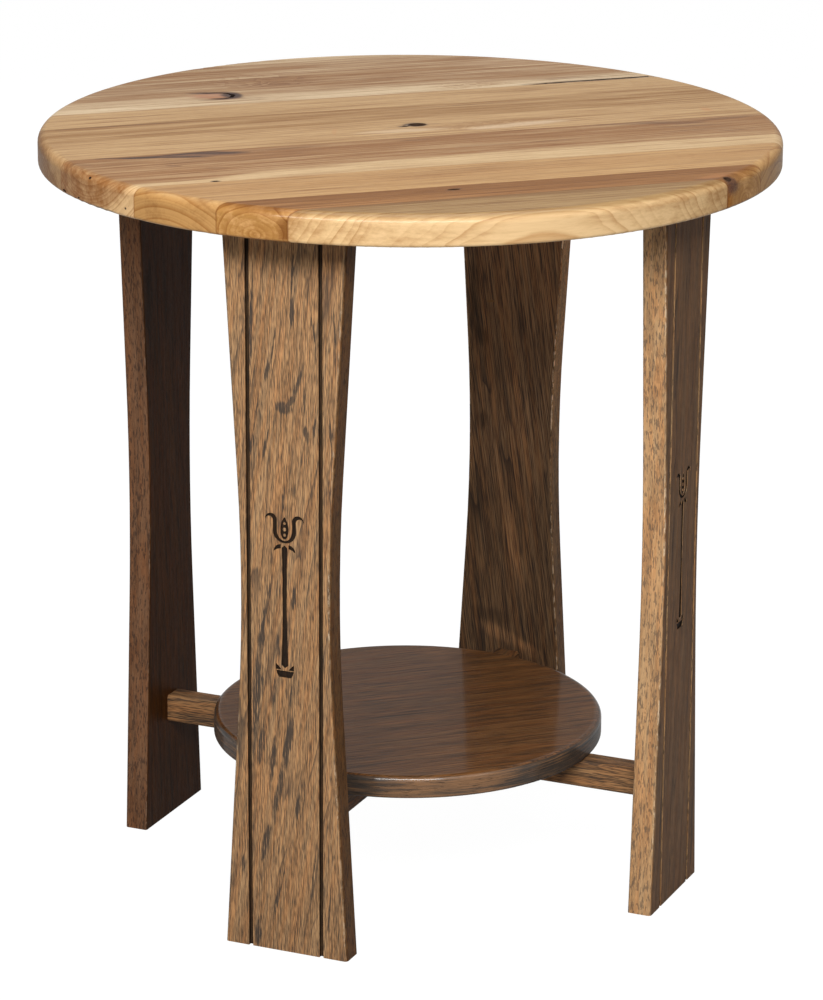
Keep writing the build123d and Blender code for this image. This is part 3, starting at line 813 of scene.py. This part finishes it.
def leg_material(name, turn, seed, outer, inner, edge, high=1.0, rub=1.0, glows=(), smudges=(),
                 **figure):
    """Stained hickory of a leg, with black grooves and carving and rubbed arrises.

    outer, inner and edge are how light each side of the leg is: partly the stain's own tone and
    partly painted light and shade of that side.  high is how much lighter the leg is painted near
    the top, painted light in the table top's shadow, and rub how pale the arrises are.  On the
    inner face, glows are listed places where it is paler, and smudges are spots of another colour.
    """
    g = Graph(name + "_stained_hickory")
    sideways, inward, height = g.place(turn)
    depth = g.add(inward, LEG_FACE)
    wood = Growth(g, height, sideways, g.mul(depth, -1.0), LEG_PITH, 6.0, seed, drift=6.0,
                  wobble=1.6)
    x, y, _ = g.facing(turn)
    on_edge = g.step(g.math("ABSOLUTE", x), 0.45, 0.85)
    colour, roughness, relief = stained(wood, (1, 1, 1), speckle=on_edge, **figure)
    # each side's tone: partly the stain and partly painted light and shade of that side
    shade = g.mix(g.step(y, *OUTWARDS), inner, outer)
    shade = g.mix(on_edge, shade, edge)
    # painted light: the leg is painted lighter towards the top, where the table top casts its
    # shadow
    shade = tinged(g, shade, (high, high, high), g.step(height, *PAINTED_LIGHT_HEIGHTS))
    for *shape, strength in glows:
        glow = g.mul(wood.mark(*shape, soft=0.6, ragged=0.5), g.step(y, *INWARDS, 0.0, strength))
        shade = tinged(g, shade, GLOW, glow)
    colour = g.mix(1.0, colour, shade, "MULTIPLY")
    for tint, *shape, strength in smudges:
        smudge = g.mul(wood.mark(*shape, soft=0.6, ragged=0.9), strength)
        colour = g.mix(g.mul(smudge, g.step(y, *INWARDS)), colour, tint)

    # the arrises are rubbed pale here and there
    aside = g.math("ABSOLUTE", x)
    arris = g.mul(g.step(aside, 0.20, 0.45), g.step(aside, 0.93, 0.80))
    rubbed = g.step(g.noise(wood.stretched(0.14, 0.5, 9.4), detail=3, roughness=0.7), 0.47, 0.62)
    patchy = g.step(g.noise(wood.stretched(0.012, 0.02, 5.4), detail=1), 0.42, 0.58, 0.15, 0.8)
    worn = g.mul(g.mul(arris, rubbed), patchy)
    colour = g.mix(worn, colour, g.mix(1.0, shade, tinted(WORN, (rub, rub, rub)), "MULTIPLY"))

    # stain lies thick in the carving; the black in the grooves, darker the deeper, is partly pooled
    # stain and partly painted shade
    beside = g.math("ABSOLUTE", sideways)
    in_groove = g.step(beside, *GROOVE_INSIDE)
    cut = g.mix(in_groove, g.step(depth, *CARVING_SHADE), g.step(depth, *GROOVE_SHADE))
    cut = g.mul(cut, g.step(depth, *BELOW_CUTS, 1.0, 0.0))
    cut = g.mul(cut, g.step(beside, *GROOVE_OUTSIDE, 1.0, 0.0))
    colour = g.mix(g.mul(cut, g.step(beside, *GROOVE_INSIDE, 0.96, 0.86)), colour, STAIN_BLACK)
    return g.finish(colour, roughness, relief, 0.14, Specular_IOR_Level=0.08)


RIM_TINT = (0.66, 0.61, 0.62)  # of the shelf's rim
PAINTED_LIGHT_ON_RIM = math.radians(-97)   # middle of the painted light on that rim, on its side facing the lamps, turned from the grain
PAINTED_LIGHT_REACH = (0.14, 0.45)      # how far to either side, in radians
SHELF_RIM = (SHELF_RADIUS - 2.6, SHELF_RADIUS - 1.2)
SHELF_SHINE = (SHELF_RADIUS - 7, SHELF_RADIUS - 4)
SHELF_SEAM_LINE = (0.9, 0.2)
SHELF_TINT = (0.465, 0.35, 0.245)
SHELF_GRAIN = dict(lean=1.0, streaks=0.3, bite=1.55, coarse=1.5, reach=2.0, rings=0.6)
RAIL_GRAIN = dict(lean=1.0, streaks=0.9, bite=1.7, coarse=1.15, rings=0.9)
RAIL_PITH = (-30.0, -45.0)


def rim_colour(g, angle, up, seed):
    """Round the shelf's rim the grain shows as level lines, dark where it drank more, and painted
    light and shade make it lighter on the side facing the lamps and darker elsewhere.
    """
    arc = g.mul(angle, SHELF_RADIUS)
    lines = g.noise(g.vector(g.mul(arc, 0.028), g.mul(up, 1.0), seed), 3, 0.6)
    dark = g.noise(g.vector(g.mul(arc, 0.020), g.mul(up, 0.06), seed + 4), 2, 0.6)
    beside = g.math("ABSOLUTE", g.sub(angle, PAINTED_LIGHT_ON_RIM))
    pale = g.step(beside, *PAINTED_LIGHT_REACH, 1.0, 0.0)
    shade = g.add(g.mul(g.sub(lines, 0.5), 3.4), g.mul(g.sub(dark, 0.5), 1.8))
    # painted light and shade: lighter on the side of the rim facing the lamps, darker elsewhere
    shade = g.add(shade, g.math("MULTIPLY_ADD", pale, -0.55, 0.42))
    edge = g.mix(g.step(shade, -0.6, 0.7), tinted(STAIN_TAN, RIM_TINT), STAIN_GREY)
    specks = g.noise(g.vector(g.mul(arc, 0.09), g.mul(up, 1.1), seed + 9), 2, 0.6)
    return g.mix(g.step(specks, 0.60, 0.68, 0.0, 0.7), edge, STAIN_BLACK)


def shelf_material(name, seed, pith):
    g = Graph(name + "_stained_hickory")
    along, across, height = g.place(GRAIN_ANGLE)
    up = g.sub(height, SHELF_Z)
    wood = Growth(g, along, across, up, pith, 4.5, seed)
    colour, roughness, relief = stained(wood, SHELF_TINT, **SHELF_GRAIN)
    from_axis = g.root(g.sum_of_squares(along, across))
    rim = g.step(from_axis, *SHELF_RIM)
    angle = g.math("ARCTAN2", across, along)
    colour = g.mix(rim, colour, rim_colour(g, angle, up, seed))
    for seam in seams(name):
        if abs(seam) < SHELF_RADIUS - SEAM_IN_RIM:
            beside = g.math("ABSOLUTE", g.sub(across, seam))
            line = g.step(beside, *SHELF_SEAM_LINE, 0.0, 0.4)
            colour = g.mix(line, colour, tinted(STAIN_TAN, SEAM_TINT))
    # the rounded rim shines more than the face, and its upright side less
    coat = g.step(from_axis, *SHELF_SHINE, 0.42, 0.85)
    coat = g.mul(coat, g.step(g.facing(GRAIN_ANGLE)[2], 0.0, 0.3, 0.35, 1.0))
    g.feed(g.shader.inputs["Coat Weight"], coat)
    return g.finish(colour, roughness, relief, 0.08, Specular_IOR_Level=0.12, Coat_Roughness=0.11)


def rail_material(name, turn, level, seed, tint):
    g = Graph(name + "_stained_hickory")
    along, across, height = g.place(turn)
    wood = Growth(g, along, across, g.sub(height, level), RAIL_PITH, 4.0, seed)
    colour, roughness, relief = stained(wood, tint, **RAIL_GRAIN)
    return g.finish(colour, roughness, relief, 0.08, Specular_IOR_Level=0.15)


def steel_material():
    g = Graph("zinc_plated_steel")
    x, y, z = g.place(0)
    blotch = g.noise(g.vector(g.mul(x, 0.6), g.mul(y, 0.6), g.mul(z, 0.6)), detail=3)
    colour = g.mix(blotch, (0.55, 0.54, 0.50), (0.68, 0.67, 0.63))
    roughness = g.step(blotch, 0.3, 0.7, 0.28, 0.42)
    return g.finish(colour, roughness, blotch, 0.02, Metallic=1.0)


def dress(name, material):
    """Gives a piece of the frame its material."""
    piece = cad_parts[name]
    for slot in piece.material_slots:
        slot.material = material


# ---- floor and background ------------------------------------------------------------------
FLOOR_HALF = 12.0
FLOOR_GREY = 0.34            # how much of the light the floor throws back
FLOOR_SHADOWS = 0.2          # how much of its shadows the camera sees
FLOOR_WHITE = 0.985          # its own white, added to what is left of them
REFLECTED_WHITE = 0.3
WORLD_FILL = 0.09


def seen_directly(tree):
    """How much of the white studio a ray sees: 1 from the camera or through glass, less in a
    reflection, and 0 where it only lights the object."""
    path = tree.nodes.new("ShaderNodeLightPath")
    glossy = tree.nodes.new("ShaderNodeMath")
    glossy.operation = "MULTIPLY"
    glossy.inputs[1].default_value = REFLECTED_WHITE
    tree.links.new(path.outputs["Is Glossy Ray"], glossy.inputs[0])
    seen = glossy.outputs[0]
    for kind in ("Is Camera Ray", "Is Transmission Ray"):
        either = tree.nodes.new("ShaderNodeMath")
        either.operation = "MAXIMUM"
        tree.links.new(seen, either.inputs[0])
        tree.links.new(path.outputs[kind], either.inputs[1])
        seen = either.outputs[0]
    return seen


def between(tree, share, low, high):
    """From low where share is 0 to high where it is 1."""
    span = tree.nodes.new("ShaderNodeMapRange")
    span.inputs["To Min"].default_value = low
    span.inputs["To Max"].default_value = high
    tree.links.new(share, span.inputs["Value"])
    return span.outputs[0]


def make_floor():
    mesh = bpy.data.meshes.new("floor")
    corners = [(x * FLOOR_HALF, y * FLOOR_HALF, 0) for x, y in ((-1, -1), (1, -1), (1, 1), (-1, 1))]
    mesh.from_pydata(corners, [], [(0, 1, 2, 3)])
    floor = bpy.data.objects.new("floor", mesh)
    bpy.context.scene.collection.objects.link(floor)
    material = bpy.data.materials.new("white_floor")
    material.use_nodes = True
    tree = material.node_tree
    tree.nodes.clear()
    seen = seen_directly(tree)
    output = tree.nodes.new("ShaderNodeOutputMaterial")
    grey = tree.nodes.new("ShaderNodeCombineColor")
    level = between(tree, seen, FLOOR_GREY, FLOOR_SHADOWS * FLOOR_GREY)
    for channel in range(3):
        tree.links.new(level, grey.inputs[channel])
    diffuse = tree.nodes.new("ShaderNodeBsdfDiffuse")
    tree.links.new(grey.outputs[0], diffuse.inputs["Color"])
    glow = tree.nodes.new("ShaderNodeEmission")
    tree.links.new(between(tree, seen, 0.0, FLOOR_WHITE), glow.inputs["Strength"])
    both = tree.nodes.new("ShaderNodeAddShader")
    tree.links.new(diffuse.outputs[0], both.inputs[0])
    tree.links.new(glow.outputs[0], both.inputs[1])
    tree.links.new(both.outputs[0], output.inputs[0])
    floor.data.materials.append(material)


def make_world():
    world = bpy.data.worlds.new("studio")
    bpy.context.scene.world = world
    world.use_nodes = True
    tree = world.node_tree
    background = tree.nodes["Background"]
    background.inputs["Color"].default_value = (1, 1, 1, 1)
    strength = between(tree, seen_directly(tree), WORLD_FILL, 1.0)
    tree.links.new(strength, background.inputs["Strength"])


make_camera()
make_lights()
make_world()
make_floor()

for name, board in TOP_BOARDS.items():
    material = top_material(name, **board)
    cutters = [pit_cutter(pit, seed) for seed, pit in enumerate(PITS.get(name, ()))]
    cutters += [crack_cutter(crack, seed) for seed, crack in enumerate(CRACKS.get(name, ()))]
    if cutters:
        opened(name, cutters).data.materials.append(material)
    else:
        dress(name, material)

# Feathered streaks on the front leg: (height, sideways, half length, half width, tilt).
FRONT_STREAKS = (
    (569, 7.6, 21, 1.0, 3), (539, 7.1, 14, 2.3, 3), (460.5, -0.4, 5.5, 8.5, 8),
    (467, 6.5, 8, 2.8, 35), (481, 12, 19, 2.1, 18), (509, -9.3, 18, 0.8, 9),
    (489, -14.5, 11, 1.9, 11), (429, -16, 16, 1.3, 12), (467, 17.5, 19, 0.8, -1),
    (441, 19.3, 8.5, 2.5, -10), (447, 26.4, 11, 1.2, 7), (522, -28.3, 42, 1.4, 2),
    (529, 43.7, 18, 1.1, -4), (444, 40.2, 12, 1.6, -4), (454, -24.2, 24, 0.8, 9),
    (428, -28.1, 12, 1.6, 10), (525, 25.7, 13, 1.1, -9), (385, -0.8, 10, 1.7, 5),
    (302, -14.5, 27, 1.5, 12), (267, -20.6, 21.6, 3.4, 5), (217, -24.9, 51.3, 3.8, 4),
    (304, 7.8, 12, 2, 7), (266, -6.1, 15, 1.3, 4), (224, -9.4, 14.9, 2.1, 7),
    (222, 5.2, 14, 0.8, 8), (180, 2.4, 29.7, 3.7, 10), (139, -6.1, 27, 3.6, 12),
    (92, -18.1, 18.9, 3.5, 13), (163, -11.5, 25.7, 2.2, 7), (176, -21.2, 18.9, 3, 6),
    (128, 11.2, 12.2, 2.5, 8), (42, -8.4, 13.5, 1.7, 12), (71, -38.1, 10.8, 1.7, -3),
    (14, -25.1, 14.9, 3.1, 2), (49, -5.8, 32, 0.7, 12), (43, 38.8, 18, 0.8, 4),
    (66, 24.2, 28, 0.7, 6),
)
# Pale places on the back leg's inner face, in the same way, with how pale they are at the end,
# and its smudges, with their colour first and their strength at the end.
BACK_GLOWS = (
    (216, -2.5, 44, 5.5, 12, 0.7), (290, 14, 26, 3.0, 10, 0.35), (300, -12, 60, 10, 6, 0.25),
    (123, 2, 5.5, 24, -18, 0.85), (112, -22, 5, 10, -30, 0.6),
)
BACK_SMUDGES = (
    (STAIN_BLACK, 400.5, 28, 9, 5, 20, 0.45), (STAIN_BLACK, 323.5, 26, 8, 4.5, -10, 0.45),
    (RUST, 432.5, 19.7, 0.9, 3.4, 4, 0.9), (STAIN_BLACK, 438, 35, 30, 5, 0, 0.45),
    (STAIN_BLACK, 236, 33, 34, 5, 0, 0.3), (STAIN_BLACK, 141, 14, 6, 18, -10, 0.35),
    (STAIN_BLACK, 104, -2, 4, 10, -14, 0.5),
)
# outer, inner and edge hold painted light and shade of each side as well as the stain's tone
LEGS = {
    "leg_front": dict(turn=0, seed=3.3, outer=(1.04, 1.04, 1.05), inner=(0.35, 0.33, 0.30),
                      edge=(0.38, 0.32, 0.26), marks=FRONT_STREAKS, stray=0.3, bite=1.5),
    "leg_right": dict(turn=90, seed=8.8, outer=(0.565, 0.53, 0.53), inner=(0.35, 0.33, 0.30),
                      edge=(1.40, 1.45, 1.48), streaks=0.5, lean=3.0),
    "leg_back": dict(turn=180, seed=14.2, outer=(0.8, 0.78, 0.72), inner=(0.315, 0.305, 0.32),
                     edge=(0.5, 0.46, 0.42), streaks=0.35, lean=8.0, bite=1.75, reach=2.4,
                     high=3.0, rub=1.9, slanted=True, glows=BACK_GLOWS, smudges=BACK_SMUDGES),
    "leg_left": dict(turn=270, seed=19.7, outer=(0.68, 0.64, 0.59), inner=(0.20, 0.123, 0.058),
                     edge=(0.50, 0.43, 0.46), streaks=0.5, lean=4.0),
}
for name, leg in LEGS.items():
    dress(name, leg_material(name, **leg))

for number, seed, pith in ((1, 2.4, (-130, -60)), (2, 6.5, (15, -90)), (3, 11.9, (140, -70))):
    name = f"shelf_board_{number}"
    dress(name, shelf_material(name, seed, pith))

for level, middle in RAIL_Z.items():
    # the rails along y are painted darker than those along x: painted shade under the shelf and the
    # top
    for run, turn, tint in (("x", 0, (0.81, 0.75, 0.70)), ("y", 90, (0.45, 0.38, 0.33))):
        name = f"{level}_rail_{run}"
        dress(name, rail_material(name, turn, middle, 3.1 + turn * 0.1, tint))

steel = steel_material()
for name in ("shelf_screws", "top_screws"):
    dress(name, steel)

bpy.context.scene.view_settings.view_transform = "Standard"
